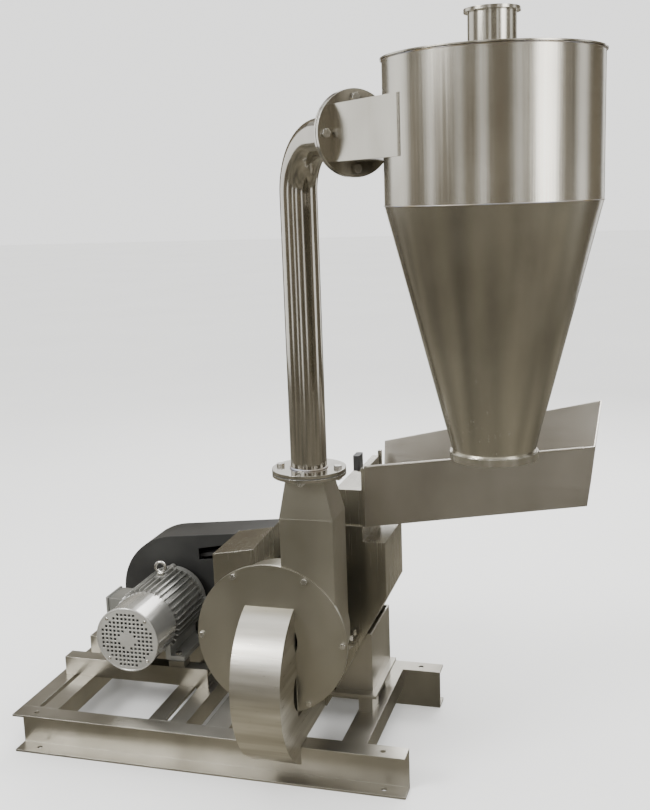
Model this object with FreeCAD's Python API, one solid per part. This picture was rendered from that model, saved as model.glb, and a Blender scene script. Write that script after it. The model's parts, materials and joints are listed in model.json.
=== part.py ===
"""Hammer mill with blower, riser pipe and cyclone on a channel base frame.

Millimetres. +Z is up, +X runs along the base rails towards the cyclone and +Y
points to the belt drive at the back. The origin is on the floor, at the centre
of the four floor bolt holes.
"""
import FreeCAD
import Part
import math
import os

Vec = FreeCAD.Vector
Z_AXIS = Vec(0, 0, 1)
Y_AXIS = Vec(0, 1, 0)

# base frame
FRAME_LENGTH = 1000.0
FRAME_DEPTH = 500.0
RAIL_HEIGHT = 100.0
RAIL_FLANGE = 50.0
STEEL = 5.0
FLOOR_HOLE_X = 445.0
FLOOR_HOLE_Y = 226.0
FLOOR_HOLE_R = 6.5
MEMBER_HEIGHT = 52.0
MOTOR_MEMBERS = ((-500.0, -400.0), (-152.0, -52.0))
MILL_MEMBERS = ((-1.0, 59.0), (341.0, 401.0))
SLOT_WIDTH = 13.0
SLOT_Y = (-190.0, 175.0)

# motor
MOTOR_X = -236.0
MOTOR_Z = 265.0
COWL_R = 84.0
COWL_Y = (-120.0, -5.0)
FIN_R = 91.0
BODY_R = 79.0
BODY_Y = (-5.0, 165.0)
SHIELD_Y = (165.0, 200.0)
FIN_COUNT = 36
MOTOR_SHAFT_R = 14.0
FOOT_HOLE_X = 80.0
FOOT_HOLES_Y = (8.0, 148.0)
BAR_HEIGHT = 50.0
BAR_WIDTH = 40.0
BAR_X = (-482.0, -70.0)
PACKER = 15.0

# mill rotor and housing
MILL_X = 200.0
MILL_Z = 363.0
CHAMBER_Y = (-44.0, 130.0)
END_PLATE = 6.0
SHELL = 4.0
TIP_R = 126.0
PIN_CIRCLE_R = 72.0
PIN_R = 7.0
DISC_R = 88.0
DISC_T = 6.0
DISC_Y = (-32.0, 18.0, 68.0, 112.0)
HAMMER_W = 36.0
HAMMER_T = 6.0
BEARING_Y = (-100.0, 176.0)
BLOCK_SEAT = 49.0
SCREEN_R = 134.0
RUNNING_GAP = 0.05
HOUSING_OUTLINE = (
    (262.0, 105.0), (420.0, 399.0), (420.0, 536.0), (366.0, 536.0), (366.0, 574.0),
    (156.0, 574.0), (90.0, 504.0), (90.0, 500.0), (-20.0, 482.0), (-20.0, 399.0), (138.0, 105.0),
)
LUG_REACH = 128.0
LUG_Z = 292.0
STAND_X = (21.0, 379.0)
STAND_Y = (-44.0, 150.0)
STAND_Z = (153.0, 300.0)
FLANGE_X = (7.0, 393.0)
FLANGE_Y = (-70.0, 156.0)
FLANGE_T = 8.0
BASE_LEDGE = 32.0
BLOCK_Y = ((-52.0, 8.0), (88.0, 148.0))
BLOCK_X = ((21.0, 56.0), (344.0, 379.0))

# feed throat, gate and tray
THROAT_X = (300.0, 366.0)
THROAT_TOP = 661.0
GATE_X = (368.0, 371.0)
TRAY_T = 3.0
TRAY_X = (374.0, 882.0)
TRAY_FLOOR_Z = (573.0, 649.0)
TRAY_FRONT_Z = (721.0, 785.0)
TRAY_BACK_Z = (731.0, 844.0)
TRAY_FRONT_Y = -50.0
TRAY_BACK_Y = 140.0
TRAY_BACK_LEAN = 0.208
TRAY_END_LEAN = 0.113

# blower
BLOWER_Y = (-256.0, -150.0)
COVER_T = 4.0
COVER_R = 178.0
DRUM_R = 156.0
EYE_R = 62.0
SHEET = 3.0
FAN_R = 140.0
COVER_BOLT_R = 168.0
OUTLET_X = (230.0, 352.0)
OUTLET_TOP = 650.0
INTAKE_X = (141.0, 257.0)

# riser, elbow and cyclone
RISER_X = 290.0
RISER_Y = -210.0
PIPE_R = 40.0
PIPE_T = 2.0
JOINT_FLANGE_R = 82.0
JOINT_BOLT_R = 66.0
JOINT_Z = (742.0, 749.0, 751.0, 758.0)
ELBOW_Z = 1459.0
ELBOW_R = 110.0
ELBOW_TURN = -45.0
JOINT_S = (227.0, 234.0, 236.0, 243.0)
INLET_HALF = 52.5
CYCLONE_S = 478.0
BARREL_R = 193.0
BARREL_Z = (1323.0, 1573.0)
CONE_BOTTOM = (868.0, 76.0)
VENT_R = 42.5
VENT_TOP = 1652.0

# belt drive
PULLEY_Y = (228.0, 272.0)
MILL_PULLEY_R = 80.0
MOTOR_PULLEY_R = 100.0
GUARD_Y = (213.0, 340.0)
GUARD_MOTOR = (-243.0, 266.0, 162.0)
GUARD_MILL = (200.0, 363.0, 108.0)


# ---------- shape helpers ----------

def box(x, y, z):
    """Box from three (low, high) ranges."""
    return Part.makeBox(x[1] - x[0], y[1] - y[0], z[1] - z[0], Vec(x[0], y[0], z[0]))


def rod_y(x, z, r, y):
    return Part.makeCylinder(r, y[1] - y[0], Vec(x, y[0], z), Y_AXIS)


def rod_z(x, y, r, z):
    return Part.makeCylinder(r, z[1] - z[0], Vec(x, y, z[0]), Z_AXIS)


def tube_y(x, z, outer, inner, y):
    return rod_y(x, z, outer, y).cut(rod_y(x, z, inner, (y[0] - 1, y[1] + 1)))


def tube_z(x, y, outer, inner, z):
    return rod_z(x, y, outer, z).cut(rod_z(x, y, inner, (z[0] - 1, z[1] + 1)))


def fuse(shapes):
    return shapes[0].multiFuse(shapes[1:]).removeSplitter()


def cut(shape, tools):
    return shape.cut(Part.makeCompound(tools)) if len(tools) > 1 else shape.cut(tools[0])


def face_xz(points):
    """Flat face in the XZ plane from (x, z) points."""
    corners = [Vec(px, 0, pz) for px, pz in points]
    return Part.Face(Part.makePolygon(corners + corners[:1]))


def plate_xz(points, y):
    plate = face_xz(points)
    plate.translate(Vec(0, y[0], 0))
    return plate.extrude(Vec(0, y[1] - y[0], 0))


def hexagon(seat, axis, across_flats, height):
    """Hexagonal prism whose base is centred on seat and that grows along axis."""
    r = across_flats / math.sqrt(3.0)
    corners = [Vec(r * math.cos(math.radians(60 * k)), r * math.sin(math.radians(60 * k)), 0) for k in range(7)]
    prism = Part.Face(Part.makePolygon(corners)).extrude(Vec(0, 0, height))
    prism.Placement = FreeCAD.Placement(seat, FreeCAD.Rotation(Z_AXIS, axis))
    return prism


def bolt(seat, axis, d, grip, nut=True):
    """Bolt with its head's seat at seat, its shank along axis and a nut at the end of the grip."""
    head = hexagon(seat, axis * -1, 1.6 * d, 0.65 * d)
    tail = grip + (1.1 * d if nut else 0)
    pieces = [head, Part.makeCylinder(d / 2, tail, seat, axis)]
    if nut:
        pieces.append(hexagon(seat + axis * grip, axis, 1.6 * d, 0.8 * d))
    return fuse(pieces)


def hull_xz(circle_a, circle_b, y, grow=0.0):
    """Prism round two circles (x, z, r), with straight tangent runs between them."""
    ax, az, ar = circle_a[0], circle_a[1], circle_a[2] + grow
    bx, bz, br = circle_b[0], circle_b[1], circle_b[2] + grow
    span = math.hypot(bx - ax, bz - az)
    heading = math.atan2(bz - az, bx - ax)
    tilt = math.acos((ar - br) / span)
    points = []
    for cx, cz, r, turn in ((ax, az, ar, tilt), (bx, bz, br, tilt), (bx, bz, br, -tilt), (ax, az, ar, -tilt)):
        points.append((cx + r * math.cos(heading + turn), cz + r * math.sin(heading + turn)))
    return fuse([rod_y(ax, az, ar, y), rod_y(bx, bz, br, y), plate_xz(points, y)])


def save(name, shape):
    """Write one node after a check that its solids are sound."""
    if not shape.isValid() or shape.Volume <= 0:
        print("WARNING bad shape", name)
    print(name, len(shape.Solids), round(shape.Volume / 1000.0), "cm3")
    shape.exportStep("parts/" + name + ".step")


def mirror_mill(x):
    return 2 * MILL_X - x


# ---------- base frame ----------

def rail(side):
    """Channel rail whose open side faces outwards; side is -1 at the front, 1 at the back."""
    outer = side * FRAME_DEPTH / 2
    inner = outer - side * RAIL_FLANGE
    across = (min(outer, inner), max(outer, inner))
    web = (min(inner, inner + side * STEEL), max(inner, inner + side * STEEL))
    along = (-FRAME_LENGTH / 2, FRAME_LENGTH / 2)
    body = fuse([
        box(along, web, (0, RAIL_HEIGHT)),
        box(along, across, (0, STEEL)),
        box(along, across, (RAIL_HEIGHT - STEEL, RAIL_HEIGHT)),
    ])
    holes = [rod_z(sx * FLOOR_HOLE_X, side * FLOOR_HOLE_Y, FLOOR_HOLE_R, (-1, RAIL_HEIGHT + 1)) for sx in (-1, 1)]
    return cut(body, holes)


def cross_member(x, slot_x=None):
    """Inverted channel between the rails, with its web on top."""
    y = (RAIL_FLANGE - FRAME_DEPTH / 2, FRAME_DEPTH / 2 - RAIL_FLANGE)
    z = (RAIL_HEIGHT - MEMBER_HEIGHT, RAIL_HEIGHT)
    body = box(x, y, z).cut(box((x[0] + STEEL, x[1] - STEEL), (y[0] - 1, y[1] + 1), (z[0] - 1, z[1] - STEEL)))
    if slot_x is None:
        return body
    half = SLOT_WIDTH / 2
    above = (z[1] - STEEL - 1, z[1] + 1)
    slot = fuse([box((slot_x - half, slot_x + half), SLOT_Y, above)] + [rod_z(slot_x, y, half, above) for y in SLOT_Y])
    return body.cut(slot)


def member_centre(member):
    return (member[0] + member[1]) / 2


def build_frame():
    save("front_rail", rail(-1))
    save("rear_rail", rail(1))
    save("motor_members", Part.makeCompound([cross_member(span, member_centre(span)) for span in MOTOR_MEMBERS]))
    members = []
    for span, blocks_x in zip(MILL_MEMBERS, BLOCK_X):
        holes = [rod_z(member_centre(blocks_x), member_centre(y), 6.5, (0, 101)) for y in BLOCK_Y]
        members.append(cut(cross_member(span), holes))
    save("mill_members", Part.makeCompound(members))


# ---------- motor mounting ----------

def motor_bar(y0):
    """Channel bar across the motor members; its web faces the front."""
    z = (RAIL_HEIGHT, RAIL_HEIGHT + BAR_HEIGHT)
    y = (y0, y0 + BAR_WIDTH)
    body = box(BAR_X, y, z).cut(box((BAR_X[0] - 1, BAR_X[1] + 1), (y0 + STEEL, y[1] + 1), (z[0] + STEEL, z[1] - STEEL)))
    mid = y0 + BAR_WIDTH / 2
    tools = [rod_z(member_centre(m), mid, 6.5, (z[0] - 1, z[0] + STEEL + 1)) for m in MOTOR_MEMBERS]
    for side in (-1, 1):
        x = MOTOR_X + side * FOOT_HOLE_X
        top = (z[1] - STEEL - 1, z[1] + 1)
        tools.append(fuse([
            box((x - 20, x + 20), (mid - 5.5, mid + 5.5), top),
            rod_z(x - 20, mid, 5.5, top),
            rod_z(x + 20, mid, 5.5, top),
        ]))
    return cut(body, tools)


def build_motor_mounting():
    save("motor_bars", Part.makeCompound([motor_bar(y - BAR_WIDTH / 2) for y in FOOT_HOLES_Y]))
    base = RAIL_HEIGHT + BAR_HEIGHT
    packers = []
    bolts = []
    for y in FOOT_HOLES_Y:
        for side in (-1, 1):
            x = MOTOR_X + side * FOOT_HOLE_X
            block = box((x - 22, x + 22), (y - 18, y + 18), (base, base + PACKER))
            packers.append(block.cut(rod_z(x, y, 5.5, (base - 1, base + PACKER + 1))))
            bolts.append(bolt(Vec(x, y, base + PACKER + 12), Z_AXIS * -1, 10, PACKER + 12 + STEEL))
        for member in MOTOR_MEMBERS:
            seat = Vec(member_centre(member), y, RAIL_HEIGHT + STEEL)
            bolts.append(bolt(seat, Z_AXIS * -1, 12, 2 * STEEL))
    save("motor_packers", Part.makeCompound(packers))
    save("motor_mount_bolts", Part.makeCompound(bolts))


# ---------- motor ----------

def motor_body():
    core = rod_y(MOTOR_X, MOTOR_Z, BODY_R, BODY_Y)
    fins = []
    for k in range(FIN_COUNT):
        fin = box((MOTOR_X - 1.5, MOTOR_X + 1.5), (BODY_Y[0] + 3, BODY_Y[1]), (MOTOR_Z + BODY_R - 4, MOTOR_Z + FIN_R))
        fin.rotate(Vec(MOTOR_X, 0, MOTOR_Z), Y_AXIS, 360.0 * k / FIN_COUNT)
        fins.append(fin)
    top = MOTOR_Z + FIN_R + 2
    pad = box((MOTOR_X - 14, MOTOR_X + 14), (85, 113), (MOTOR_Z + BODY_R - 4, top))
    body = fuse([core, pad] + fins + motor_feet())
    return cut(body, [
        rod_y(MOTOR_X, MOTOR_Z, MOTOR_SHAFT_R + 6, (BODY_Y[0] - 1, BODY_Y[1] + 1)),
        rod_z(MOTOR_X, 99, 4.5, (top - 14, top + 1)),
    ])


def motor_feet():
    """Two foot rails that carry the body through short webs."""
    base = RAIL_HEIGHT + BAR_HEIGHT + PACKER
    feet = []
    for side in (-1, 1):
        x = MOTOR_X + side * FOOT_HOLE_X
        y = (FOOT_HOLES_Y[0] - 12, FOOT_HOLES_Y[1] + 16)
        inner = MOTOR_X + side * 48
        web = (min(inner, inner + side * 14), max(inner, inner + side * 14))
        pad = box((min(inner, x + side * 20), max(inner, x + side * 20)), y, (base, base + 12))
        foot = fuse([pad, box(web, y, (base, MOTOR_Z - 40))])
        feet.append(cut(foot, [rod_z(x, hole, 5.5, (base - 1, base + 13)) for hole in FOOT_HOLES_Y]))
    return feet


def motor_end_shield():
    y0, y1 = SHIELD_Y
    disc = rod_y(MOTOR_X, MOTOR_Z, FIN_R - 1, (y0, y0 + 18))
    nose = Part.makeCone(FIN_R - 5, 34, y1 - y0 - 18, Vec(MOTOR_X, y0 + 18, MOTOR_Z), Y_AXIS)
    lugs = []
    for k in range(4):
        lug = rod_y(MOTOR_X, MOTOR_Z + FIN_R - 3, 9, (y0, y0 + 14))
        lug.rotate(Vec(MOTOR_X, 0, MOTOR_Z), Y_AXIS, 90 * k)
        lugs.append(lug)
    shield = fuse([disc, nose] + lugs)
    return shield.cut(rod_y(MOTOR_X, MOTOR_Z, MOTOR_SHAFT_R + RUNNING_GAP, (y0 - 1, y1 + 1)))


def motor_cowl():
    """Fan cover: a thin cup with a grille of square holes and a rolled front rim."""
    y0, y1 = COWL_Y
    cup = rod_y(MOTOR_X, MOTOR_Z, COWL_R, COWL_Y).cut(rod_y(MOTOR_X, MOTOR_Z, COWL_R - 2, (y0 + 2, y1 + 1)))
    rim = Part.makeTorus(COWL_R - 2, 3.0, Vec(MOTOR_X, y0 + 2, MOTOR_Z), Y_AXIS)
    cup = fuse([cup, rim])
    pitch = 11.0
    reach = COWL_R - 14
    holes = []
    steps = int(reach // pitch)
    for i in range(-steps, steps + 1):
        for j in range(-steps, steps + 1):
            away = math.hypot(i * pitch, j * pitch)
            if 22 < away < reach:
                x = MOTOR_X + i * pitch
                z = MOTOR_Z + j * pitch
                holes.append(box((x - 3.2, x + 3.2), (y0 - 4, y0 + 3), (z - 3.2, z + 3.2)))
    return cut(cup, holes)


def cooling_fan():
    y = (COWL_Y[0] + 30, COWL_Y[0] + 62)
    hub = rod_y(MOTOR_X, MOTOR_Z, 24, y)
    blades = []
    for k in range(7):
        blade = box((MOTOR_X - 1.5, MOTOR_X + 1.5), y, (MOTOR_Z + 20, MOTOR_Z + 70))
        blade.rotate(Vec(MOTOR_X, 0, MOTOR_Z), Y_AXIS, 360.0 * k / 7)
        blades.append(blade)
    back = rod_y(MOTOR_X, MOTOR_Z, 66, (y[1] - 3, y[1]))
    return fuse([hub, back] + blades).cut(rod_y(MOTOR_X, MOTOR_Z, MOTOR_SHAFT_R, (y[0] - 1, y[1] + 1)))


def terminal_box():
    """Box on the far side of the body, with a lid and a cable gland that points down."""
    x1 = MOTOR_X - FIN_R
    body = box((x1 - 40, x1), (40, 120), (MOTOR_Z - 30, MOTOR_Z + 40))
    lid = box((x1 - 46, x1 - 40), (37, 123), (MOTOR_Z - 33, MOTOR_Z + 43))
    gland = rod_z(x1 - 20, 80, 9, (MOTOR_Z - 48, MOTOR_Z - 30))
    nut = hexagon(Vec(x1 - 20, 80, MOTOR_Z - 30), Z_AXIS * -1, 24, 6)
    return fuse([body, lid, gland, nut])


def build_motor():
    save("motor_body", motor_body())
    save("motor_end_shield", motor_end_shield())
    save("motor_cowl", motor_cowl())
    save("motor_cooling_fan", cooling_fan())
    save("motor_terminal_box", terminal_box())
    save("motor_shaft", rod_y(MOTOR_X, MOTOR_Z, MOTOR_SHAFT_R, (COWL_Y[0] + 26, PULLEY_Y[1] + 4)))
    seat = MOTOR_Z + FIN_R + 2
    eye = fuse([
        rod_z(MOTOR_X, 99, 10, (seat, seat + 7)),
        rod_z(MOTOR_X, 99, 4, (seat - 13, seat + 1)),
        Part.makeTorus(14, 4, Vec(MOTOR_X, 99, seat + 22), Y_AXIS),
    ])
    save("motor_eye_bolt", eye)


# ---------- mill stand and housing ----------

def housing_side(inset):
    """Outline face of the housing, moved inwards by inset."""
    outline = face_xz(HOUSING_OUTLINE)
    return outline.makeOffset2D(-inset) if inset else outline


def prism_y(face, y):
    solid = face.copy()
    solid.translate(Vec(0, y[0], 0))
    return solid.extrude(Vec(0, y[1] - y[0], 0))


def housing_shell():
    """Folded side, hood and hopper sheets between the two end plates."""
    ring = prism_y(housing_side(0), CHAMBER_Y).cut(prism_y(housing_side(SHELL), (CHAMBER_Y[0] - 1, CHAMBER_Y[1] + 1)))
    throat = box((THROAT_X[0] + SHEET, THROAT_X[1] - SHELL), (CHAMBER_Y[0] + SHEET, CHAMBER_Y[1] - SHEET), (560, 580))
    return ring.cut(throat)


def rear_end_plate():
    y = (CHAMBER_Y[1], CHAMBER_Y[1] + END_PLATE)
    return prism_y(housing_side(0), y).cut(rod_y(MILL_X, MILL_Z, 30, (y[0] - 1, y[1] + 1)))


def front_end_plate():
    """End plate with clamp lugs, holes for the blower studs and an opening to the intake tunnel."""
    y = (CHAMBER_Y[0] - END_PLATE, CHAMBER_Y[0])
    through = (y[0] - 1, y[1] + 1)
    plate = fuse([prism_y(housing_side(0), y)] + clamp_lugs())
    tools = [rod_y(MILL_X, MILL_Z, 30, through)]
    tools.append(box((INTAKE_X[0] + 8, INTAKE_X[1] - 8), through, (111, 178)))
    tools.extend(rod_y(x, z, 6.5, through) for x, z in stud_places())
    return cut(plate, tools)


def stud_places():
    return [(MILL_X + sx * 96, MILL_Z + sz * 84) for sx in (-1, 1) for sz in (-1, 1)]


def lug_places():
    return [MILL_X + side * LUG_REACH for side in (-1, 1)]


def clamp_lugs():
    """Lugs with gussets at the front corners; a stop lug under each takes the clamp bolt's nut."""
    wall = CHAMBER_Y[0] - END_PLATE
    lugs = []
    for x in lug_places():
        span = (x - 20, x + 20)
        upper = box(span, (wall - 34, wall + 1), (LUG_Z, LUG_Z + 6))
        lower = box(span, (wall - 34, wall + 1), (LUG_Z - 7, LUG_Z - 1))
        gusset = plate_yz([(wall + 1, LUG_Z + 5), (wall + 1, LUG_Z + 38), (wall - 32, LUG_Z + 5)], (x - 16, x - 12))
        hole = rod_z(x, wall - 18, 6.5, (LUG_Z - 10, LUG_Z + 10))
        lugs.extend([fuse([upper, gusset]).cut(hole), lower.cut(hole)])
    return lugs


def clamp_bolts():
    wall = CHAMBER_Y[0] - END_PLATE
    return [bolt(Vec(x, wall - 18, LUG_Z + 6), Z_AXIS * -1, 12, 13) for x in lug_places()]


def plate_yz(points, x):
    corners = [Vec(x[0], py, pz) for py, pz in points]
    return Part.Face(Part.makePolygon(corners + corners[:1])).extrude(Vec(x[1] - x[0], 0, 0))


def mill_stand():
    """Box pedestal with a base flange; its front is cut away round the hopper."""
    walls = box(STAND_X, STAND_Y, STAND_Z)
    inner_x = (STAND_X[0] + SHELL, STAND_X[1] - SHELL)
    walls = walls.cut(box(inner_x, (STAND_Y[0] + SHELL, STAND_Y[1] - SHELL), (STAND_Z[0] - 1, STAND_Z[1] + 1)))
    base = box(FLANGE_X, FLANGE_Y, (STAND_Z[0] - FLANGE_T, STAND_Z[0]))
    base = base.cut(box((inner_x[0] + BASE_LEDGE, inner_x[1] - BASE_LEDGE), (STAND_Y[0] + 24, STAND_Y[1] - 24), (140, 160)))
    stand = fuse([walls, base])
    clear = prism_y(face_xz(HOUSING_OUTLINE).makeOffset2D(0.5, join=2), (-60, CHAMBER_Y[1] + END_PLATE + 2))
    tunnel = box((INTAKE_X[0] - 10, INTAKE_X[1] + 10), (-80, STAND_Y[0]), (140, 160))
    holes = [rod_z(member_centre(x), member_centre(y), 6.5, (140, 160)) for x in BLOCK_X for y in BLOCK_Y]
    return cut(stand, [clear, tunnel] + holes)


def build_stand():
    save("mill_stand", mill_stand())
    blocks = []
    bolts = clamp_bolts()
    for x in BLOCK_X:
        for y in BLOCK_Y:
            top = STAND_Z[0] - FLANGE_T
            block = box(x, y, (RAIL_HEIGHT, top))
            blocks.append(block.cut(rod_z(member_centre(x), member_centre(y), 6.5, (90, 160))))
            seat = Vec(member_centre(x), member_centre(y), STAND_Z[0])
            bolts.append(bolt(seat, Z_AXIS * -1, 12, FLANGE_T + top - RAIL_HEIGHT + STEEL))
    save("stand_blocks", Part.makeCompound(blocks))
    save("mill_bolts", Part.makeCompound(bolts + bearing_bolts() + blower_ties()))


def perforated_screen():
    """Half-round screen under the rotor, with rows of round holes."""
    y = (CHAMBER_Y[0] + 1, CHAMBER_Y[1] - 1)
    half = tube_y(MILL_X, MILL_Z, SCREEN_R + 2, SCREEN_R, y)
    half = half.common(box((MILL_X - 200, MILL_X + 200), y, (MILL_Z - 200, MILL_Z)))
    drills = []
    for k in range(13):
        drill = Part.makeCylinder(3.5, 12, Vec(MILL_X, 0, MILL_Z - SCREEN_R - 8), Z_AXIS)
        for row in range(8):
            one = drill.copy()
            one.translate(Vec(0, y[0] + 16 + 20 * row, 0))
            one.rotate(Vec(MILL_X, 0, MILL_Z), Y_AXIS, -78 + 13 * k)
            drills.append(one)
    return cut(half, drills)


def breaker_plate():
    """Toothed liner over the upper left of the rotor."""
    y = (CHAMBER_Y[0] + 1, CHAMBER_Y[1] - 1)
    ring = tube_y(MILL_X, MILL_Z, SCREEN_R + 6, SCREEN_R, y)
    wedge = face_xz([(MILL_X, MILL_Z + 1), (MILL_X - 180, MILL_Z + 1), (MILL_X - 180, MILL_Z + 180), (MILL_X, MILL_Z + 180)])
    liner = ring.common(prism_y(wedge, y))
    grooves = []
    for k in range(11):
        groove = box((MILL_X - 4, MILL_X + 4), (y[0] - 1, y[1] + 1), (MILL_Z + SCREEN_R - 3, MILL_Z + SCREEN_R + 2.5))
        groove.rotate(Vec(MILL_X, 0, MILL_Z), Y_AXIS, -(6 + 8 * k))
        grooves.append(groove)
    return cut(liner, grooves)


def build_housing():
    save("housing_shell", housing_shell())
    save("front_end_plate", front_end_plate())
    save("rear_end_plate", rear_end_plate())
    save("screen", perforated_screen())
    save("breaker_plate", breaker_plate())


# ---------- feed throat, gate and tray ----------

def throat():
    """Square throat with the U guides of the gate on its open side."""
    y = CHAMBER_Y
    z = (574.0, THROAT_TOP)
    body = box(THROAT_X, y, z)
    inner_y = (y[0] + SHEET, y[1] - SHEET)
    body = body.cut(box((THROAT_X[0] + SHEET, THROAT_X[1] - SHEET), inner_y, (z[0] - 1, z[1] - SHEET)))
    body = body.cut(box((THROAT_X[1] - SHEET - 1, THROAT_X[1] + 1), (y[0] + 8, y[1] - 8), (z[0] + 6, z[1] - 8)))
    return fuse([body] + gate_guides())


def gate_guides():
    z = (574.0, 716.0)
    strips = []
    for y0, slot in ((CHAMBER_Y[0] - 6, (CHAMBER_Y[0] + 1.5, CHAMBER_Y[0] + 20)),
                     (CHAMBER_Y[1] - 6, (CHAMBER_Y[1] - 20, CHAMBER_Y[1] - 1.5))):
        strip = box((THROAT_X[1], TRAY_X[0]), (y0, y0 + 12), z)
        strips.append(strip.cut(box((GATE_X[0] - 0.4, GATE_X[1] + 0.4), slot, (z[0] + 3, z[1] + 1))))
    return strips


def feed_gate():
    y = (CHAMBER_Y[0] + 2, CHAMBER_Y[1] - 2)
    plate = box(GATE_X, y, (577.5, 706.0))
    lip = box((GATE_X[0] - 14, GATE_X[1]), (y[0] + 8, y[1] - 8), (703.0, 706.0))
    return fuse([plate, lip])


def gate_grip():
    """Rubber grip on the front end of the gate's top lip."""
    grip = box((GATE_X[0] - 24, GATE_X[0] - 8), (CHAMBER_Y[0] + 6, CHAMBER_Y[0] + 46), (706.0, 742.0))
    return grip.makeFillet(5.0, [e for e in grip.Edges if abs(e.tangentAt(e.FirstParameter).z) > 0.9])


def wedge_solid(low, high):
    """Closed solid from four low and four high corners; its top is two triangles."""
    faces = [Part.makePolygon([low[k] for k in (0, 1, 2, 3, 0)])]
    for k in range(4):
        n = (k + 1) % 4
        faces.append(Part.makePolygon([low[k], low[n], high[n], high[k], low[k]]))
    faces.append(Part.makePolygon([high[0], high[1], high[2], high[0]]))
    faces.append(Part.makePolygon([high[0], high[2], high[3], high[0]]))
    solid = Part.makeSolid(Part.makeShell([Part.Face(f) for f in faces]))
    return solid if solid.Volume > 0 else solid.reversed()


def tray_floor_z(x):
    share = (x - TRAY_X[0]) / (TRAY_X[1] - TRAY_X[0])
    return TRAY_FLOOR_Z[0] + share * (TRAY_FLOOR_Z[1] - TRAY_FLOOR_Z[0])


def tray_body(inset, raise_top):
    """Tray envelope; inset moves its walls in, and raise_top lifts its open top."""
    x0 = TRAY_X[0] - (0 if not inset else 5)
    x1 = TRAY_X[1] - inset
    front = TRAY_FRONT_Y + inset
    back = TRAY_BACK_Y - inset
    low = [Vec(x, y, tray_floor_z(x) + inset) for x, y in ((x0, front), (x1, front), (x1, back), (x0, back))]
    high = []
    for x, y, z in ((x0, front, TRAY_FRONT_Z[0]), (x1, front, TRAY_FRONT_Z[1]),
                    (x1, back, TRAY_BACK_Z[1]), (x0, back, TRAY_BACK_Z[0])):
        z = z + raise_top
        px = x + TRAY_END_LEAN * (z - low[1].z) if x == x1 else x
        py = y + TRAY_BACK_LEAN * (z - tray_floor_z(px) - inset) if y == back else y
        high.append(Vec(px, py, z))
    return wedge_solid(low, high)


def build_feed():
    save("feed_throat", throat())
    save("feed_gate", feed_gate())
    save("gate_grip", gate_grip())
    save("feed_tray", tray_body(0, 0).cut(tray_body(TRAY_T, 30)))


# ---------- rotor ----------

def stepped_shaft():
    steps = ((17.5, (-252, -140)), (20.0, (-140, -44)), (25.0, (-44, 130)), (20.0, (130, 205)), (17.5, (205, 280)))
    return fuse([rod_y(MILL_X, MILL_Z, r, y) for r, y in steps])


def pin_place(k):
    turn = math.radians(45 + 90 * k)
    return MILL_X + PIN_CIRCLE_R * math.cos(turn), MILL_Z + PIN_CIRCLE_R * math.sin(turn)


def rotor_discs():
    discs = []
    for y0 in DISC_Y:
        disc = tube_y(MILL_X, MILL_Z, DISC_R, 25.0, (y0, y0 + DISC_T))
        holes = [rod_y(*pin_place(k), PIN_R + RUNNING_GAP, (y0 - 1, y0 + DISC_T + 1)) for k in range(4)]
        discs.append(cut(disc, holes))
    return Part.makeCompound(discs)


def disc_gaps():
    return [(a + DISC_T, b) for a, b in zip(DISC_Y[:-1], DISC_Y[1:])]


def hammer(k, mid):
    """Flat swinging hammer that hangs outwards from pin k."""
    x, z = pin_place(k)
    reach = TIP_R - PIN_CIRCLE_R
    y = (mid - HAMMER_T / 2, mid + HAMMER_T / 2)
    bar = box((x - 14, x + reach), y, (z - HAMMER_W / 2, z + HAMMER_W / 2))
    corners = [e for e in bar.Edges if e.Length < HAMMER_T + 0.1 and e.CenterOfMass.x < x]
    bar = bar.makeFillet(10.0, corners)
    bar = bar.cut(rod_y(x, z, PIN_R + RUNNING_GAP, (y[0] - 1, y[1] + 1)))
    bar.rotate(Vec(x, 0, z), Y_AXIS, -(45 + 90 * k))
    return bar


def build_rotor():
    save("rotor_shaft", stepped_shaft())
    save("rotor_discs", rotor_discs())
    pins = []
    spacers = []
    for k in range(4):
        x, z = pin_place(k)
        pin_y = (DISC_Y[0] - 3, DISC_Y[-1] + DISC_T + 3)
        pins.append(fuse([rod_y(x, z, PIN_R, pin_y), rod_y(x, z, PIN_R + 3, (pin_y[0] - 4, pin_y[0]))]))
        for low, high in disc_gaps():
            mid = (low + high) / 2
            half = HAMMER_T / 2 + 0.3
            for span in ((low + 0.2, mid - half), (mid + half, high - 0.2)):
                spacers.append(tube_y(x, z, PIN_R + 4, PIN_R + RUNNING_GAP, span))
    save("hammer_pins", Part.makeCompound(pins))
    save("hammer_spacers", Part.makeCompound(spacers))
    for k in range(4):
        row = [hammer(k, (low + high) / 2) for low, high in disc_gaps()]
        save("hammers_row_%d" % (k + 1), Part.makeCompound(row))


def bearing_block(y_mid, base_z):
    """Pillow block: foot, round housing and a seat for the bearing."""
    half = 21
    y = (y_mid - half, y_mid + half)
    foot = box((MILL_X - 86, MILL_X + 86), y, (base_z, base_z + 16))
    body = rod_y(MILL_X, MILL_Z, 44, (y_mid - 18, y_mid + 18))
    neck = box((MILL_X - 44, MILL_X + 44), (y_mid - 18, y_mid + 18), (base_z, MILL_Z))
    block = fuse([foot, body, neck])
    holes = [rod_z(MILL_X + side * 68, y_mid, 6.5, (base_z - 1, base_z + 17)) for side in (-1, 1)]
    return cut(block, [rod_y(MILL_X, MILL_Z, 36, (y[0] - 1, y[1] + 1))] + holes)


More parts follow.
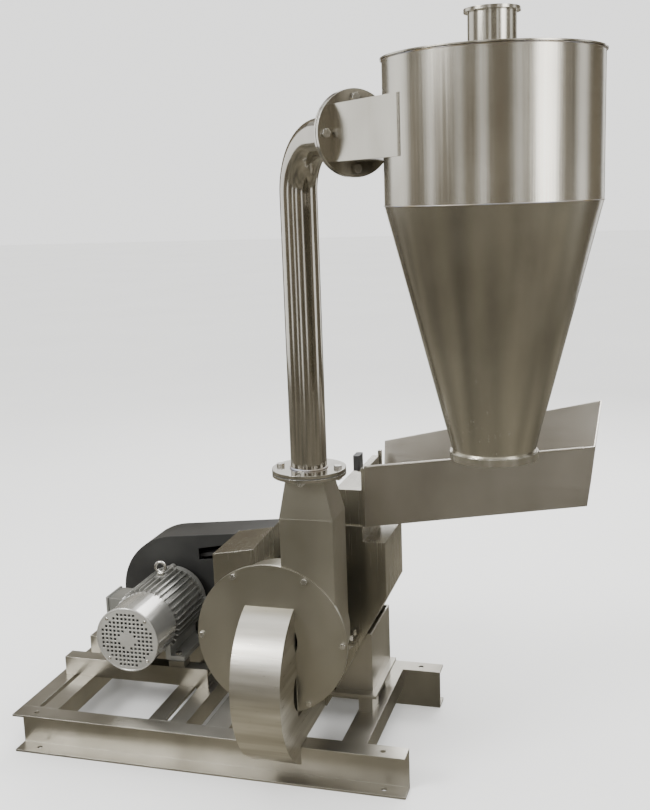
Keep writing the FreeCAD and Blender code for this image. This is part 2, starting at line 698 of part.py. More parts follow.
def bearing_bracket(y_mid, wall, rib_wall, rib_height):
    """Shelf with two ribs that carries a pillow block beside the wall at y = wall."""
    base_z = MILL_Z - BLOCK_SEAT
    side = math.copysign(1, y_mid - wall)
    far = y_mid + side * 26
    span = (min(wall, far), max(wall, far))
    shelf = box((MILL_X - 92, MILL_X + 92), span, (base_z - 8, base_z))
    points = [(rib_wall, base_z - 8), (far, base_z - 8), (rib_wall, base_z - rib_height)]
    ribs = [plate_yz(points, (x, x + 8)) for x in (MILL_X - 52, MILL_X + 44)]
    holes = [rod_z(MILL_X + s * 68, y_mid, 6.5, (base_z - 10, base_z + 1)) for s in (-1, 1)]
    return cut(fuse([shelf] + ribs), holes)


def bearing_bolts():
    seat_z = MILL_Z - BLOCK_SEAT + 16
    return [bolt(Vec(MILL_X + s * 68, y, seat_z), Z_AXIS * -1, 12, 24) for y in BEARING_Y for s in (-1, 1)]


def build_bearings():
    base_z = MILL_Z - BLOCK_SEAT
    rings = [tube_y(MILL_X, MILL_Z, 35.95, 20 + RUNNING_GAP, (y - 10, y + 10)) for y in BEARING_Y]
    save("bearing_blocks", Part.makeCompound([bearing_block(y, base_z) for y in BEARING_Y]))
    save("bearings", Part.makeCompound(rings))
    walls = (CHAMBER_Y[0] - END_PLATE, CHAMBER_Y[1] + END_PLATE)
    rib_walls = (walls[0], STAND_Y[1])
    brackets = [bearing_bracket(y, wall, rib, 60) for y, wall, rib in zip(BEARING_Y, walls, rib_walls)]
    save("bearing_brackets", Part.makeCompound(brackets))


# ---------- blower ----------

def blower_housing():
    """Round drum with a back wall and an upward outlet duct on its right."""
    y = BLOWER_Y
    duct_z = (MILL_Z, OUTLET_TOP)
    outer = fuse([rod_y(MILL_X, MILL_Z, DRUM_R, y), box(OUTLET_X, y, duct_z)])
    inner_x = (OUTLET_X[0] + SHEET, OUTLET_X[1] - SHEET)
    inner_y = (y[0] + SHEET, y[1] - SHEET)
    inner = fuse([
        rod_y(MILL_X, MILL_Z, DRUM_R - SHEET, (y[0] - 1, inner_y[1])),
        box(inner_x, inner_y, (MILL_Z, OUTLET_TOP + 1)),
    ])
    rim = tube_y(MILL_X, MILL_Z, COVER_R, DRUM_R - SHEET, (y[0], y[0] + 4))
    duct_space = box(inner_x, inner_y, (MILL_Z, OUTLET_TOP + 1))
    body = fuse([outer.cut(inner), rim.cut(duct_space)])
    holes = [rod_y(x, z, 4.5, (y[0] - 1, y[0] + 5)) for x, z in cover_bolt_places()]
    studs = [rod_y(x, z, 6.5, (y[1] - 5, y[1] + 1)) for x, z in stud_places()]
    return cut(body, holes + studs + [rod_y(MILL_X, MILL_Z, 22, (y[1] - 5, y[1] + 1))])


def cover_bolt_places():
    places = []
    for k in range(6):
        turn = math.radians(60 * k)
        places.append((MILL_X + COVER_BOLT_R * math.cos(turn), MILL_Z + COVER_BOLT_R * math.sin(turn)))
    return places


def blower_cover():
    y = (BLOWER_Y[0] - COVER_T, BLOWER_Y[0])
    disc = tube_y(MILL_X, MILL_Z, COVER_R, EYE_R, y)
    return cut(disc, [rod_y(x, z, 4.5, (y[0] - 1, y[1] + 1)) for x, z in cover_bolt_places()])


def fan_wheel():
    y = (-228.0, -166.0)
    hub = rod_y(MILL_X, MILL_Z, 32, (-200, y[1] + 4))
    back = rod_y(MILL_X, MILL_Z, FAN_R, (y[1], y[1] + 4))
    blades = []
    for k in range(8):
        blade = box((MILL_X - 2, MILL_X + 2), (y[0], y[1] + 1), (MILL_Z + 66, MILL_Z + FAN_R - 2))
        blade.rotate(Vec(MILL_X, 0, MILL_Z), Y_AXIS, 45.0 * k)
        blades.append(blade)
    web = []
    for k in range(8):
        rib = box((MILL_X - 2, MILL_X + 2), (-190, y[1] + 1), (MILL_Z + 28, MILL_Z + 70))
        rib.rotate(Vec(MILL_X, 0, MILL_Z), Y_AXIS, 45.0 * k)
        web.append(rib)
    return fuse([hub, back] + blades + web).cut(rod_y(MILL_X, MILL_Z, 17.5, (-230, -150)))


def outlet_transition(inset):
    """Tapered neck from the outlet duct to the round flange."""
    low = [(OUTLET_X[0] + inset, BLOWER_Y[0] + inset), (OUTLET_X[1] - inset, BLOWER_Y[1] - inset)]
    half = PIPE_R + PIPE_T - inset
    high = [(RISER_X - half, RISER_Y - half), (RISER_X + half, RISER_Y + half)]
    wires = []
    for (a, b), z in ((low, OUTLET_TOP), (high, JOINT_Z[0])):
        corners = [Vec(a[0], a[1], z), Vec(b[0], a[1], z), Vec(b[0], b[1], z), Vec(a[0], b[1], z)]
        wires.append(Part.makePolygon(corners + corners[:1]))
    return Part.makeLoft(wires, True, True)


def intake_profile(inset):
    """Side view of the intake: a bulged front, a low tip and a tunnel to the hopper."""
    face_y = BLOWER_Y[0] - COVER_T
    crown = 442.0 - inset
    nose_y = -383.0 + inset
    nose_z = 270.0
    tip = (-253.0 - 0.5 * inset, 60.0 + 2.2 * inset)
    upper_r = ((crown - nose_z) ** 2 + (face_y - nose_y) ** 2) / (2 * (face_y - nose_y))
    lower_r = ((nose_z - tip[1]) ** 2 + (tip[0] - nose_y) ** 2) / (2 * (tip[0] - nose_y))
    turn = math.radians(40)
    upper_mid = Vec(0, nose_y + upper_r * (1 - math.cos(turn)), nose_z + upper_r * math.sin(turn))
    lower_mid = Vec(0, nose_y + lower_r * (1 - math.cos(turn)), nose_z - lower_r * math.sin(turn))
    nose = Vec(0, nose_y, nose_z)
    path = [Vec(0, tip[0], tip[1]), Vec(0, tip[0], 103 + inset), Vec(0, -50, 103 + inset), Vec(0, -50, 181 - inset),
            Vec(0, face_y, 181 - inset), Vec(0, face_y, crown)]
    edges = [
        Part.Arc(Vec(0, face_y, crown), upper_mid, nose).toShape(),
        Part.Arc(nose, lower_mid, Vec(0, tip[0], tip[1])).toShape(),
    ]
    edges.extend(Part.makeLine(a, b) for a, b in zip(path[:-1], path[1:]))
    return Part.Face(Part.Wire(edges))


def intake_duct():
    body = intake_profile(0)
    body.translate(Vec(INTAKE_X[0], 0, 0))
    body = body.extrude(Vec(INTAKE_X[1] - INTAKE_X[0], 0, 0))
    hollow = intake_profile(2.0)
    hollow.translate(Vec(INTAKE_X[0] + 2, 0, 0))
    hollow = hollow.extrude(Vec(INTAKE_X[1] - INTAKE_X[0] - 4, 0, 0))
    face_y = BLOWER_Y[0] - COVER_T
    inner_x = (INTAKE_X[0] + 2, INTAKE_X[1] - 2)
    to_fan = box(inner_x, (face_y - 6, face_y + 1), (190, 436))
    to_mill = box(inner_x, (-56, -49), (105, 179))
    air_hole = Part.makeCylinder(50, 8, Vec(INTAKE_X[1] - 5, face_y + 22, 240), Vec(1, 0, 0))
    air_hole = air_hole.common(box((INTAKE_X[1] - 6, INTAKE_X[1] + 4), (face_y - 60, face_y - 2), (190, 290)))
    return cut(body, [hollow, to_fan, to_mill, air_hole])


def build_blower():
    save("blower_housing", blower_housing())
    save("blower_cover", blower_cover())
    save("fan_wheel", fan_wheel())
    save("fan_nut", hexagon(Vec(MILL_X, -200, MILL_Z), Y_AXIS * -1, 50, 16).cut(rod_y(MILL_X, MILL_Z, 17.5, (-220, -199))))
    save("intake_duct", intake_duct())
    save("outlet_transition", outlet_transition(0).cut(outlet_transition(SHEET)))
    seat_y = BLOWER_Y[0] - COVER_T
    save("cover_bolts", Part.makeCompound([bolt(Vec(x, seat_y, z), Y_AXIS, 8, 8) for x, z in cover_bolt_places()]))
    span = (BLOWER_Y[1], CHAMBER_Y[0] - END_PLATE)
    save("blower_spacers", Part.makeCompound([tube_y(x, z, 12, 6.5, span) for x, z in stud_places()]))


def blower_ties():
    grip = SHEET + CHAMBER_Y[0] - BLOWER_Y[1]
    return [bolt(Vec(x, BLOWER_Y[1] - SHEET, z), Y_AXIS, 12, grip, nut=False) for x, z in stud_places()]


# ---------- riser, elbow and cyclone ----------

def heading():
    turn = math.radians(ELBOW_TURN)
    return Vec(math.cos(turn), math.sin(turn), 0)


def along_inlet(s):
    """Point on the horizontal inlet axis at distance s from the riser axis."""
    return Vec(RISER_X, RISER_Y, ELBOW_Z) + heading() * s


def joint_ring(start, axis, height, outer=JOINT_FLANGE_R, inner=PIPE_R - PIPE_T):
    """Flat flange or gasket with four bolt holes."""
    ring = Part.makeCylinder(outer, height, start, axis).cut(Part.makeCylinder(inner, height + 2, start - axis, axis))
    return cut(ring, [Part.makeCylinder(5, height + 2, start - axis + d, axis) for d in joint_bolt_offsets(axis)])


def joint_bolt_offsets(axis):
    side = Vec(1, 0, 0) if abs(axis.z) > 0.5 else axis.cross(Z_AXIS)
    other = axis.cross(side)
    return [side * JOINT_BOLT_R, other * JOINT_BOLT_R, side * -JOINT_BOLT_R, other * -JOINT_BOLT_R]


def joint_bolts(start, axis, grip):
    return [bolt(start + d, axis, 10, grip) for d in joint_bolt_offsets(axis)]


def riser_pipe():
    """Upright pipe, quarter bend and the short level run to the cyclone joint."""
    start = Vec(RISER_X, RISER_Y, ELBOW_Z - ELBOW_R)
    outer = Part.Wire(Part.makeCircle(PIPE_R, start, Z_AXIS))
    inner = Part.Wire(Part.makeCircle(PIPE_R - PIPE_T, start, Z_AXIS))
    centre = start + heading() * ELBOW_R
    pivot = Z_AXIS.cross(heading())
    bend = Part.Face(outer).revolve(centre, pivot, 90).cut(Part.Face(inner).revolve(centre, pivot, 90))
    run = along_inlet(ELBOW_R)
    length = JOINT_S[0] - ELBOW_R
    straight = Part.makeCylinder(PIPE_R, length, run, heading())
    straight = straight.cut(Part.makeCylinder(PIPE_R - PIPE_T, length, run, heading()))
    upright = tube_z(RISER_X, RISER_Y, PIPE_R, PIPE_R - PIPE_T, (JOINT_Z[3], ELBOW_Z - ELBOW_R))
    return fuse([upright, bend, straight])


def inlet_box(half, s0, s1):
    duct = Part.makeBox(s1 - s0, 2 * half, 2 * half, Vec(s0, -half, -half))
    duct.Placement = FreeCAD.Placement(Vec(RISER_X, RISER_Y, ELBOW_Z), FreeCAD.Rotation(Z_AXIS, ELBOW_TURN))
    return duct


def cyclone_centre():
    """Cyclone axis: the inlet's outer face is tangent to the barrel."""
    left = Z_AXIS.cross(heading())
    place = along_inlet(CYCLONE_S) + left * (BARREL_R - INLET_HALF)
    return place.x, place.y


def build_riser():
    foot = Vec(RISER_X, RISER_Y, 0)
    places = [(foot + Z_AXIS * z, Z_AXIS) for z in JOINT_Z] + [(along_inlet(s), heading()) for s in JOINT_S]
    steps = [JOINT_Z, JOINT_S]
    flanges = []
    gaskets = []
    bolts = []
    for k, cuts in enumerate(steps):
        at = places[4 * k:4 * k + 4]
        flanges.append(joint_ring(*at[0], cuts[1] - cuts[0]))
        gaskets.append(joint_ring(*at[1], cuts[2] - cuts[1]))
        flanges.append(joint_ring(*at[2], cuts[3] - cuts[2]))
        bolts.extend(joint_bolts(at[3][0], at[3][1] * -1, cuts[3] - cuts[0]))
    save("joint_flanges", Part.makeCompound(flanges))
    save("joint_gaskets", Part.makeCompound(gaskets))
    save("joint_bolts", Part.makeCompound(bolts))
    save("riser_pipe", riser_pipe())


def build_cyclone():
    x, y = cyclone_centre()
    inner_half = INLET_HALF - PIPE_T
    barrel = tube_z(x, y, BARREL_R, BARREL_R - 2, BARREL_Z)
    save("cyclone_barrel", barrel.cut(inlet_box(inner_half, JOINT_S[3], CYCLONE_S)))
    duct = inlet_box(INLET_HALF, JOINT_S[3], CYCLONE_S).cut(inlet_box(inner_half, JOINT_S[3] - 1, CYCLONE_S + 1))
    save("inlet_duct", duct.cut(rod_z(x, y, BARREL_R, BARREL_Z)))
    z0, r0 = CONE_BOTTOM
    height = BARREL_Z[0] - z0
    cone = Part.makeCone(r0, BARREL_R, height, Vec(x, y, z0)).cut(Part.makeCone(r0 - 2, BARREL_R - 2, height, Vec(x, y, z0)))
    save("cyclone_cone", fuse([cone, tube_z(x, y, r0 + 6, r0 - 2, (z0 - 12, z0 + 2))]))
    lid_z = (BARREL_Z[1], BARREL_Z[1] + 3)
    save("cyclone_lid", tube_z(x, y, BARREL_R + 3, VENT_R + RUNNING_GAP, lid_z))
    vent = fuse([
        tube_z(x, y, VENT_R, VENT_R - 2, (1420.0, VENT_TOP)),
        tube_z(x, y, VENT_R + 7, VENT_R - 1, (VENT_TOP - 6, VENT_TOP)),
    ])
    save("cyclone_vent_tube", vent)


# ---------- belt drive ----------

def pulley(x, z, r, bore):
    """V-belt pulley with two grooves and a lightened web."""
    y0, y1 = PULLEY_Y
    wheel = rod_y(x, z, r, PULLEY_Y)
    for groove_y in belt_planes():
        wheel = wheel.cut(tube_y(x, z, r + 1, r - 12, (groove_y - 7, groove_y + 7)))
    for span in ((y0 - 1, y0 + 10), (y1 - 10, y1 + 1)):
        wheel = wheel.cut(tube_y(x, z, r - 22, bore + 14, span))
    return wheel.cut(rod_y(x, z, bore, (y0 - 1, y1 + 1)))


def belt_planes():
    return PULLEY_Y[0] + 12.5, PULLEY_Y[1] - 12.5


def belt(mid):
    y = (mid - 6.6, mid + 6.6)
    motor = (MOTOR_X, MOTOR_Z, MOTOR_PULLEY_R - 12)
    mill = (MILL_X, MILL_Z, MILL_PULLEY_R - 12)
    return hull_xz(motor, mill, y, 11.0).cut(hull_xz(motor, mill, (y[0] - 1, y[1] + 1), 0.5))


def guard_cover():
    """Deep cover round the belts, closed at the back."""
    y = (GUARD_Y[0] + 2, GUARD_Y[1])
    return hull_xz(GUARD_MOTOR, GUARD_MILL, y).cut(hull_xz(GUARD_MOTOR, GUARD_MILL, (y[0] - 1, y[1] - 2), -2.0))


def guard_plate():
    """Front plate of the guard, with shaft openings and a long inspection slot."""
    y = (GUARD_Y[0], GUARD_Y[0] + 2)
    plate = hull_xz(GUARD_MOTOR, GUARD_MILL, y)
    through = (y[0] - 1, y[1] + 1)
    slot = plate_xz([(-172, 366), (-20, 382), (-20, 426), (-172, 398)], through)
    shaft_slot = box((MOTOR_X - 50, MOTOR_X + 50), through, (MOTOR_Z - 30, MOTOR_Z + 30))
    return cut(plate, [slot, shaft_slot, rod_y(MILL_X, MILL_Z, 30, through)])


def guard_brackets():
    """Angle brackets from the rear rail up to the guard."""
    pieces = []
    for x in (-330.0, -140.0):
        pieces.append(fuse([
            box((x, x + 40), (206, 213), (RAIL_HEIGHT, 190)),
            box((x, x + 40), (206, 246), (RAIL_HEIGHT, RAIL_HEIGHT + 3.5)),
        ]))
    return Part.makeCompound(pieces)


def build_drive():
    save("mill_pulley", pulley(MILL_X, MILL_Z, MILL_PULLEY_R, 17.5))
    save("motor_pulley", pulley(MOTOR_X, MOTOR_Z, MOTOR_PULLEY_R, MOTOR_SHAFT_R))
    save("drive_belts", Part.makeCompound([belt(mid) for mid in belt_planes()]))
    save("guard_cover", guard_cover())
    save("guard_front_plate", guard_plate())
    save("guard_brackets", guard_brackets())


os.makedirs("parts", exist_ok=True)
build_frame()
build_motor_mounting()
build_motor()
build_stand()
build_housing()
build_feed()
build_rotor()
build_bearings()
build_blower()
build_riser()
build_cyclone()
build_drive()
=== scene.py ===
import bpy
import bmesh
import json
import math
from mathutils import Matrix, Vector


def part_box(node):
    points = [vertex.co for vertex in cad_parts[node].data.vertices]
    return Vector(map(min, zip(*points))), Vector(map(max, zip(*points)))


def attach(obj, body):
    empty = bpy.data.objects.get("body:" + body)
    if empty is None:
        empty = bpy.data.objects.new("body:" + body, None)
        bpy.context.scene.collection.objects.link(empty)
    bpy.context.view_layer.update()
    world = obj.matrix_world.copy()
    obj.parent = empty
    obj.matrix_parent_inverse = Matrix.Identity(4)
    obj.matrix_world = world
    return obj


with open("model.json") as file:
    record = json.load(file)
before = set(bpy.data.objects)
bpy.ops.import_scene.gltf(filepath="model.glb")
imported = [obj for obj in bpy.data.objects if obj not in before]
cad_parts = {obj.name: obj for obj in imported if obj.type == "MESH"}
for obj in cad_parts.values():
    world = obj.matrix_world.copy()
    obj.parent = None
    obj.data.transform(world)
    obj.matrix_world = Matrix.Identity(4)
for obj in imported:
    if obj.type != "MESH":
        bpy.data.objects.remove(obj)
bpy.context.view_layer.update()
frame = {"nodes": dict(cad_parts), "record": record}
NODES = frame["nodes"]

# machine landmarks, metres
CYCLONE = Vector((0.727346, -0.448649, 0.0))
CONE_TOP_Z = 1.323
BARREL_TOP_Z = 1.573
BARREL_R = 0.193
MOTOR_AXIS = Vector((-0.236, 0.0, 0.265))
RISER_AXIS = Vector((0.290, -0.210, 0.0))
TRAY_RIM_ENDS = ((0.374, 0.721), (0.882, 0.785))
TRAY_RIM_Y = -0.0515
COWL_SCREW_CIRCLE_R = 0.074

# studio
FLOOR_Z = -0.0005
GROUND_CARD_Z = -0.0010
CARD_CENTRE = (0.2, -0.1)
CARD_DISTANCE = 5.0
CARD_HEIGHT = 4.6
CARD_MIDDLE_Z = 2.2
# azimuth in degrees and width in metres
CARDS = ((-160, 2.6), (-124, 2.4), (-98, 1.5), (-70, 2.3), (-42, 1.6),
         (-12, 3.0), (38, 3.4), (84, 2.8), (128, 3.2))
LIGHT_TARGET = (0.2, -0.1, 0.7)

# camera, in metres, millimetres and radians
CAMERA_PLACE = (0.9750, -2.3927, 1.3493)
CAMERA_LENS = 59.1
CAMERA_YAW, CAMERA_PITCH, CAMERA_ROLL = 0.2866, 0.1956, -0.0357


# ---------- node material helpers ----------

def new_material(name):
    mat = bpy.data.materials.new(name)
    mat.use_nodes = True
    tree = mat.node_tree
    return mat, tree, tree.nodes["Principled BSDF"]


def add(tree, kind, **values):
    node = tree.nodes.new(kind)
    for key, value in values.items():
        if key in node.inputs:
            node.inputs[key].default_value = value
        else:
            setattr(node, key, value)
    return node


def noise(tree, stretch, scale, detail=4.0):
    """Noise over object coordinates in metres, stretched by a scale for each axis."""
    coord = add(tree, "ShaderNodeTexCoord")
    mapping = add(tree, "ShaderNodeMapping")
    mapping.inputs["Scale"].default_value = stretch
    texture = add(tree, "ShaderNodeTexNoise", Scale=scale, Detail=detail)
    tree.links.new(coord.outputs["Object"], mapping.inputs["Vector"])
    tree.links.new(mapping.outputs["Vector"], texture.inputs["Vector"])
    return texture.outputs["Fac"]


def ramp(tree, fac, low, high, start=0.3, end=0.7):
    node = tree.nodes.new("ShaderNodeValToRGB")
    node.color_ramp.elements[0].position = start
    node.color_ramp.elements[1].position = end
    node.color_ramp.elements[0].color = (*low, 1.0)
    node.color_ramp.elements[1].color = (*high, 1.0)
    tree.links.new(fac, node.inputs["Fac"])
    return node.outputs["Color"]


def spread(tree, fac, low, high):
    node = add(tree, "ShaderNodeMapRange")
    node.inputs["To Min"].default_value = low
    node.inputs["To Max"].default_value = high
    tree.links.new(fac, node.inputs["Value"])
    return node.outputs["Result"]


def surface_relief(tree, shader, height, strength, distance, edge=0.0012):
    """Bump from a height, over softly rounded edges."""
    bevel = add(tree, "ShaderNodeBevel", samples=4)
    bevel.inputs["Radius"].default_value = edge
    bump = add(tree, "ShaderNodeBump", Strength=strength, Distance=distance)
    tree.links.new(bevel.outputs["Normal"], bump.inputs["Normal"])
    tree.links.new(height, bump.inputs["Height"])
    tree.links.new(bump.outputs["Normal"], shader.inputs["Normal"])


def brushed(name, dark, light, grain, rough=(0.2, 0.36), relief=0.25):
    """Stainless sheet: fine grain along one axis, with slow handling marks over it."""
    mat, tree, shader = new_material(name)
    fine = noise(tree, grain, 60.0, 6.0)
    slow = noise(tree, (1.0, 1.0, 0.6), 5.0, 3.0)
    shader.inputs["Metallic"].default_value = 1.0
    tree.links.new(ramp(tree, slow, dark, light), shader.inputs["Base Color"])
    both = add(tree, "ShaderNodeMath", operation="MULTIPLY")
    tree.links.new(fine, both.inputs[0])
    tree.links.new(spread(tree, slow, 0.7, 1.35), both.inputs[1])
    tree.links.new(spread(tree, both.outputs[0], *rough), shader.inputs["Roughness"])
    surface_relief(tree, shader, fine, relief, 0.0003)
    return mat


def painted(name, dark, light, rough, coat=0.0, texture=220.0):
    """Paint with faint orange peel and slow colour change."""
    mat, tree, shader = new_material(name)
    peel = noise(tree, (1.0, 1.0, 1.0), texture, 2.0)
    slow = noise(tree, (1.0, 1.0, 1.0), 7.0, 4.0)
    tree.links.new(ramp(tree, slow, dark, light), shader.inputs["Base Color"])
    tree.links.new(spread(tree, slow, *rough), shader.inputs["Roughness"])
    shader.inputs["Metallic"].default_value = 0.0 if coat == 0.0 else 0.55
    shader.inputs["Coat Weight"].default_value = coat
    surface_relief(tree, shader, peel, 0.12, 0.0004)
    return mat


ALONG_X = (0.05, 6.0, 6.0)
ALONG_Z = (6.0, 6.0, 0.05)
EVEN = (3.0, 3.0, 3.0)
MATERIALS = {
    "frame_steel": brushed("frame_steel", (0.330, 0.315, 0.275), (0.520, 0.500, 0.450),
        ALONG_X, (0.22, 0.42)),
    "housing_steel": brushed("housing_steel", (0.330, 0.315, 0.270), (0.540, 0.520, 0.460),
        ALONG_Z, (0.16, 0.34)),
    "tray_steel": brushed("tray_steel", (0.330, 0.310, 0.270), (0.500, 0.475, 0.430),
        ALONG_X, (0.24, 0.42)),
    "blower_steel": brushed("blower_steel", (0.300, 0.285, 0.235), (0.460, 0.440, 0.380),
        EVEN, (0.28, 0.46)),
    "pipe_steel": brushed("pipe_steel", (0.360, 0.340, 0.300), (0.560, 0.540, 0.490),
        ALONG_Z, (0.08, 0.20), 0.1),
    "cyclone_steel": brushed("cyclone_steel", (0.330, 0.310, 0.265), (0.550, 0.530, 0.470),
        ALONG_Z, (0.14, 0.30), 0.18),
    "bright_steel": brushed("bright_steel", (0.50, 0.50, 0.49), (0.66, 0.66, 0.65), EVEN, (0.15, 0.30)),
    "hammer_steel": brushed("hammer_steel", (0.28, 0.26, 0.24), (0.44, 0.42, 0.40), EVEN, (0.35, 0.55)),
    "fastener_steel": brushed("fastener_steel", (0.50, 0.49, 0.46), (0.70, 0.69, 0.66),
        EVEN, (0.15, 0.32)),
    "motor_paint": painted("motor_paint", (0.20, 0.20, 0.185), (0.36, 0.355, 0.33), (0.24, 0.40), 0.25),
    "cowl_paint": painted("cowl_paint", (0.26, 0.255, 0.235), (0.42, 0.415, 0.385), (0.12, 0.24), 0.8),
    "guard_paint": painted("guard_paint", (0.008, 0.008, 0.008), (0.024, 0.024, 0.022), (0.36, 0.54)),
    "cast_grey": painted("cast_grey", (0.12, 0.13, 0.14), (0.24, 0.25, 0.26), (0.45, 0.70), 0.0, 90.0),
    "fan_plastic": painted("fan_plastic", (0.018, 0.018, 0.018), (0.045, 0.045, 0.045), (0.45, 0.60)),
    "gasket_rubber": painted("gasket_rubber", (0.012, 0.012, 0.012), (0.030, 0.030, 0.030),
        (0.60, 0.80)),
    "belt_rubber": painted("belt_rubber", (0.010, 0.010, 0.010), (0.030, 0.028, 0.026), (0.60, 0.85)),
    "grip_rubber": painted("grip_rubber", (0.010, 0.010, 0.010), (0.026, 0.026, 0.026), (0.42, 0.62)),
}


def tinted_weld():
    """Weld bead: ripples with straw and blue heat tint."""
    mat, tree, shader = new_material("weld_tint")
    shader.inputs["Metallic"].default_value = 1.0
    heat = noise(tree, (1.0, 1.0, 1.0), 22.0, 3.0)
    tree.links.new(ramp(tree, heat, (0.42, 0.34, 0.22), (0.40, 0.41, 0.47)), shader.inputs["Base Color"])
    tree.links.new(spread(tree, heat, 0.28, 0.5), shader.inputs["Roughness"])
    surface_relief(tree, shader, noise(tree, (1.0, 1.0, 1.0), 260.0, 2.0), 0.3, 0.0006)
    return mat


WELD = tinted_weld()


def reflection_banded_sheet():
    """Sheet rubbed across its width, with broad level bands of painted reflection, light and dark, in its
    colour.
    """
    mat, tree, shader = new_material("intake_sheet")
    painted_reflection_bands = noise(tree, (0.25, 0.25, 4.0), 6.0, 3.0)
    fine = noise(tree, (0.3, 0.3, 8.0), 60.0, 5.0)
    shader.inputs["Metallic"].default_value = 1.0
    # painted reflection: the base colour runs from dark to light in level bands up the duct
    tree.links.new(ramp(tree, painted_reflection_bands, (0.34, 0.32, 0.27), (0.80, 0.78, 0.72)), shader.inputs["Base Color"])
    tree.links.new(spread(tree, fine, 0.20, 0.44), shader.inputs["Roughness"])
    surface_relief(tree, shader, fine, 0.3, 0.0003)
    return mat


def dress_cad_nodes():
    special = {"intake_duct": reflection_banded_sheet()}
    slot_of = {p["node"]: p["material_slot"] for p in frame["record"]["subparts"]}
    for name, obj in NODES.items():
        mat = special.get(name, MATERIALS[slot_of[name]])
        if obj.material_slots:
            for held in obj.material_slots:
                held.material = mat
        else:
            obj.data.materials.append(mat)


# ---------- new pieces ----------

def piece(name, mesh, body, mat):
    obj = bpy.data.objects.new(name, mesh)
    bpy.context.scene.collection.objects.link(obj)
    mesh.materials.append(mat)
    for face in mesh.polygons:
        face.use_smooth = True
    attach(obj, body)
    return obj


def bead(name, points, radius, closed, body, mat, ripple=0.0, pitch=0.006, sides=8):
    """Rounded bead swept along points, with ripples across it where asked."""
    rows = []
    bm = bmesh.new()
    count = len(points)
    travelled = 0.0
    for k, point in enumerate(points):
        ahead = points[(k + 1) % count] if closed or k + 1 < count else point
        behind = points[k - 1] if closed or k else point
        travelled += (point - behind).length
        along = (ahead - behind).normalized()
        side = along.cross(Vector((0, 0, 1)))
        side = side.normalized() if side.length > 0.1 else Vector((1, 0, 0))
        up = side.cross(along)
        r = radius * (1.0 + ripple * math.sin(math.tau * travelled / pitch))
        angles = [math.tau * s / sides for s in range(sides)]
        ring = [bm.verts.new(point + (side * math.cos(t) + up * math.sin(t)) * r) for t in angles]
        rows.append(ring)
    for k in range(count if closed else count - 1):
        a, b = rows[k], rows[(k + 1) % count]
        for s in range(sides):
            n = (s + 1) % sides
            bm.faces.new((a[s], a[n], b[n], b[s]))
    if not closed:
        bm.faces.new(rows[0][::-1])
        bm.faces.new(rows[-1])
    bmesh.ops.recalc_face_normals(bm, faces=bm.faces)
    mesh = bpy.data.meshes.new(name)
    bm.to_mesh(mesh)
    bm.free()
    return piece(name, mesh, body, mat)


def circle(centre, radius, z, steps):
    return [Vector((centre.x + radius * math.cos(math.tau * k / steps),
                    centre.y + radius * math.sin(math.tau * k / steps), z)) for k in range(steps)]


def screw_heads(name, places, body, mat, radius=0.006, height=0.003):
    """Domed screw heads that face -Y, each with a round dimple."""
    bm = bmesh.new()
    sides = 20
    profile = ((1.0, 0.0), (1.0, 0.35), (0.86, 0.72), (0.55, 0.94), (0.22, 1.0), (0.16, 0.72))
    for place in places:
        rings = []
        for share, rise in profile:
            rings.append([bm.verts.new(place + Vector((radius * share * math.cos(math.tau * s / sides),
                                                       -height * rise,
                                                       radius * share * math.sin(math.tau * s / sides))))
                          for s in range(sides)])
        for low, high in zip(rings, rings[1:]):
            for s in range(sides):
                n = (s + 1) % sides
                bm.faces.new((low[s], low[n], high[n], high[s]))
        bm.faces.new(rings[0])
        bm.faces.new(rings[-1])
    bmesh.ops.recalc_face_normals(bm, faces=bm.faces)
    mesh = bpy.data.meshes.new(name)
    bm.to_mesh(mesh)
    bm.free()
    return piece(name, mesh, body, mat)


def spaced(low, high, steps):
    return [low + (high - low) * k / (steps - 1) for k in range(steps)]


def tray_rim(name, low, high, y):
    """Wire-rolled top edge of the tray's front side, between two (x, z) points."""
    inset = 0.003
    run, rise = high[0] - low[0], high[1] - low[1]
    points = [Vector((low[0] + run * t, y + inset, low[1] + rise * t - inset)) for t in spaced(0.01, 0.985, 80)]
    bead(name, points, 0.0028, False, "machine", MATERIALS["tray_steel"])


def add_details():
    seam = circle(CYCLONE, BARREL_R, CONE_TOP_Z, 720)
    lid = circle(CYCLONE, BARREL_R, BARREL_TOP_Z - 0.0015, 720)
    vent = circle(CYCLONE, 0.0430, 1.5775, 240)
    flange = circle(RISER_AXIS, 0.0405, 0.7595, 240)
    # name, line, bead radius, slot, ripple share, ripple pitch
    welds = (
        ("cyclone_seam_weld", seam, 0.0009, "cyclone_steel", 0.22, 0.005),
        ("cyclone_lid_weld", lid, 0.0010, "cyclone_steel", 0.22, 0.005),
        ("vent_foot_weld", vent, 0.0018, "cyclone_steel", 0.25, 0.004),
        ("riser_flange_weld", flange, 0.0018, "pipe_steel", 0.25, 0.004),
    )
    for name, line, radius, slot_name, ripple, pitch in welds:
        bead(name, line, radius, True, "machine", WELD, ripple, pitch)
    tray_rim("tray_front_rim", *TRAY_RIM_ENDS, TRAY_RIM_Y)
    screw_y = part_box("motor_cowl")[0][1] + 0.0012
    places = []
    for degrees in (45, 135, 225, 315):
        turn = math.radians(degrees)
        places.append(Vector((MOTOR_AXIS.x + COWL_SCREW_CIRCLE_R * math.cos(turn), screw_y,
                              MOTOR_AXIS.z + COWL_SCREW_CIRCLE_R * math.sin(turn))))
    screw_heads("cowl_screws", places, "machine", MATERIALS["fastener_steel"], 0.0045, 0.0024)


# ---------- studio ----------

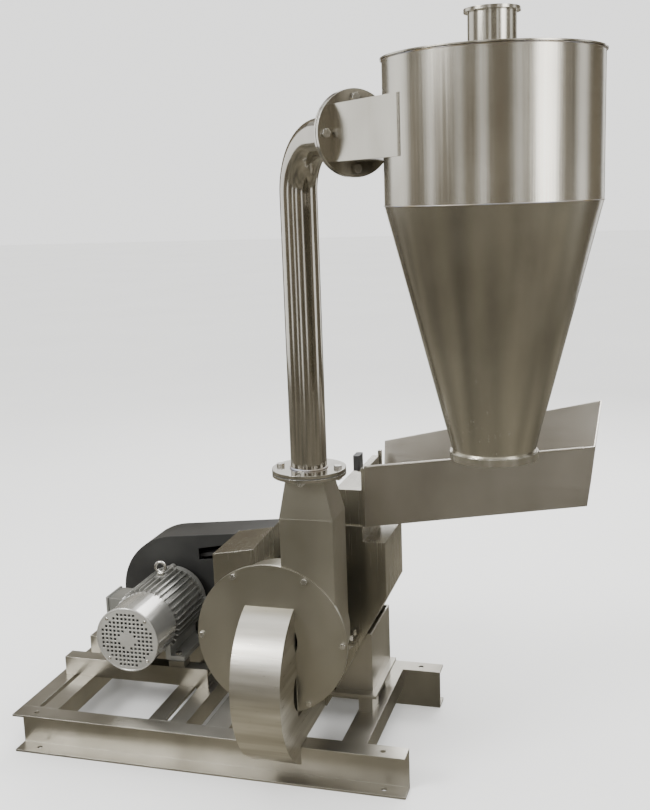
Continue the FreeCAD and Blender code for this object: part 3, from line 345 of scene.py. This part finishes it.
def plane(name, size, matrix, mat):
    mesh = bpy.data.meshes.new(name)
    w, h = size[0] / 2, size[1] / 2
    mesh.from_pydata([(-w, -h, 0), (w, -h, 0), (w, h, 0), (-w, h, 0)], [], [(0, 1, 2, 3)])
    mesh.materials.append(mat)
    obj = bpy.data.objects.new(name, mesh)
    obj.matrix_world = matrix
    bpy.context.scene.collection.objects.link(obj)
    return obj


def stage_material(name, low, high, rough=0.9):
    mat, tree, shader = new_material(name)
    tree.links.new(ramp(tree, noise(tree, (1, 1, 1), 0.8, 2.0), low, high), shader.inputs["Base Color"])
    shader.inputs["Roughness"].default_value = rough
    return mat


def area_light(name, place, target, size, power):
    light = bpy.data.lights.new(name, "AREA")
    light.shape = "RECTANGLE"
    light.size, light.size_y = size
    light.energy = power
    obj = bpy.data.objects.new(name, light)
    obj.location = place
    obj.rotation_euler = (Vector(target) - Vector(place)).to_track_quat("-Z", "Y").to_euler()
    bpy.context.scene.collection.objects.link(obj)


def reflected_only(obj):
    """A studio card that lights nothing and shows only in reflections."""
    obj.visible_camera = False
    obj.visible_diffuse = False
    obj.visible_shadow = False


def build_studio():
    pale = stage_material("floor", (0.88, 0.88, 0.87), (0.91, 0.91, 0.90))
    floor = plane("floor", (60, 60), Matrix.Translation((0, 0, FLOOR_Z)), pale)
    floor.visible_glossy = False
    olive = stage_material("ground_card", (0.055, 0.050, 0.036), (0.26, 0.235, 0.18))
    reflected_only(plane("ground_card", (11, 11), Matrix.Translation((0, 0, GROUND_CARD_Z)), olive))
    dark = stage_material("card", (0.035, 0.030, 0.020), (0.15, 0.125, 0.085))
    upright = Matrix.Rotation(math.pi / 2, 4, "X")
    for azimuth, width in CARDS:
        turn = math.radians(azimuth)
        place = Vector((CARD_CENTRE[0] + CARD_DISTANCE * math.cos(turn),
                        CARD_CENTRE[1] + CARD_DISTANCE * math.sin(turn), CARD_MIDDLE_Z))
        facing = Matrix.Translation(place) @ Matrix.Rotation(turn - math.pi / 2, 4, "Z") @ upright
        reflected_only(plane(f"card_{azimuth + 180}", (width, CARD_HEIGHT), facing, dark))
    world = bpy.data.worlds.new("studio")
    bpy.context.scene.world = world
    world.use_nodes = True
    sky = world.node_tree.nodes["Background"]
    sky.inputs["Color"].default_value = (0.96, 0.96, 0.95, 1.0)
    sky.inputs["Strength"].default_value = 1.9
    area_light("key", (-2.2, -3.0, 3.2), LIGHT_TARGET, (1.6, 1.6), 170)
    area_light("fill", (3.2, -1.8, 2.0), LIGHT_TARGET, (1.2, 2.4), 60)
    area_light("back", (0.6, 3.0, 2.8), LIGHT_TARGET, (2.4, 1.2), 90)


def build_camera():
    data = bpy.data.cameras.new("camera")
    data.lens = CAMERA_LENS
    data.sensor_width = 36.0
    data.sensor_fit = "HORIZONTAL"
    obj = bpy.data.objects.new("camera", data)
    turned = Matrix.Rotation(CAMERA_YAW, 4, "Z") @ Matrix.Rotation(math.pi / 2 - CAMERA_PITCH, 4, "X")
    obj.matrix_world = Matrix.Translation(CAMERA_PLACE) @ turned @ Matrix.Rotation(CAMERA_ROLL, 4, "Z")
    bpy.context.scene.collection.objects.link(obj)
    bpy.context.scene.camera = obj


build_camera()
dress_cad_nodes()
add_details()
build_studio()
